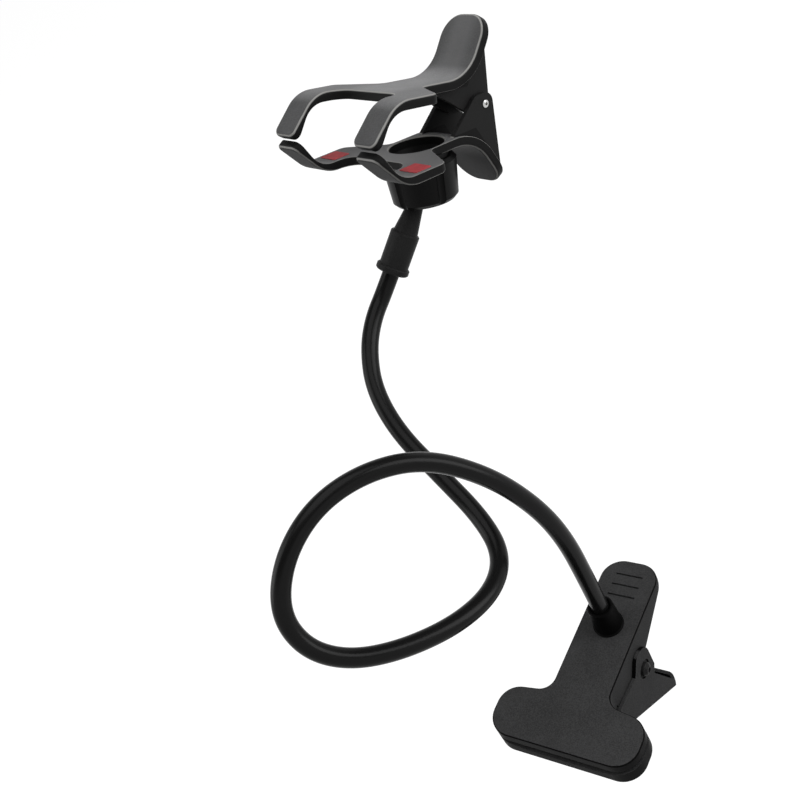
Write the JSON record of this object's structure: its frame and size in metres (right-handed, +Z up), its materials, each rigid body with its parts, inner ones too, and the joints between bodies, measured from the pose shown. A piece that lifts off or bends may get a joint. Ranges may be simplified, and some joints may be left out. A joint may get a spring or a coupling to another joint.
{
  "type": "gooseneck tablet holder",
  "caption": "Spring table clamp with a long bendable arm that carries a ball-jointed, two-sided spring clip with forked hooked fingers for a phone or small tablet",
  "frame": {"origin": "in the table clamp's mouth: the middle of the parting plane between its two pads, 16 mm behind the upper jaw's front edge", "axes": "+Z up, square to the table top that the clamp grips; +Y from the mouth back to the clamp's lever; +X to the right seen from the mouth"},
  "size_m": [0.1821, 0.3003, 0.3284],
  "materials": {
    "clamp_plastic": "charcoal moulded plastic with a fine even grain",
    "pad_rubber": "soft black rubber",
    "steel": "plain zinc-plated steel",
    "arm_jacket": "smooth black jacket with a soft gloss",
    "clip_plastic": "grey soft-touch moulded plastic",
    "joint_plastic": "black moulded plastic",
    "grip_rubber": "red soft rubber"
  },
  "bodies": {
    "base": {"clamp_upper_jaw": "clamp_plastic", "clamp_upper_pad": "pad_rubber", "clamp_pivot_pin": "joint_plastic", "clamp_spring": "steel", "clamp_nut": "steel", "lower_fitting": "steel", "gooseneck": "arm_jacket", "upper_fitting": "steel", "neck_sleeve": "joint_plastic"},
    "lower_jaw": {"clamp_lower_jaw": "clamp_plastic", "clamp_lower_pad": "pad_rubber"},
    "stem": {"ball_stem": "joint_plastic"},
    "knob": {"lock_knob": "joint_plastic"},
    "clip_lower": {"lower_clip": "clip_plastic", "lower_grip_right": "grip_rubber", "lower_grip_left": "grip_rubber", "clip_axle": "steel", "clip_spring": "steel"},
    "clip_upper": {"upper_clip": "clip_plastic", "upper_grip_right": "grip_rubber", "upper_grip_left": "grip_rubber"}
  },
  "joints": [
    {"name": "clamp_jaw", "type": "hinge", "parent": "base", "child": "lower_jaw", "pos_m": [0, 0.048, -0.0147], "axis": [1, 0, 0], "range_deg": [0, 36], "stiffness_Nm_per_rad": 1.2, "springref_deg": -51.57, "deforming": ["clamp_spring"]},
    {"name": "ball_swivel", "type": "hinge", "parent": "base", "child": "stem", "pos_m": [-0.08991, 0.17245, 0.20267], "axis": [0.3568, 0.6596, 0.6616], "continuous": true},
    {"name": "ball_tilt", "type": "hinge", "parent": "stem", "child": "knob", "pos_m": [-0.08991, 0.17245, 0.20267], "axis": [0.7544, -0.6211, 0.2125], "range_deg": [-63.5, 1]},
    {"name": "clip_turn", "type": "hinge", "parent": "knob", "child": "clip_lower", "pos_m": [-0.08991, 0.17245, 0.20267], "axis": [0.0189, 0.3441, 0.9388], "continuous": true},
    {"name": "clip_jaw", "type": "hinge", "parent": "clip_lower", "child": "clip_upper", "pos_m": [-0.07903, 0.21607, 0.21842], "axis": [-0.9602, 0.2679, -0.0788], "range_deg": [0, 50], "stiffness_Nm_per_rad": 0.25, "springref_deg": -68.75, "deforming": ["clip_spring"]}
  ]
}
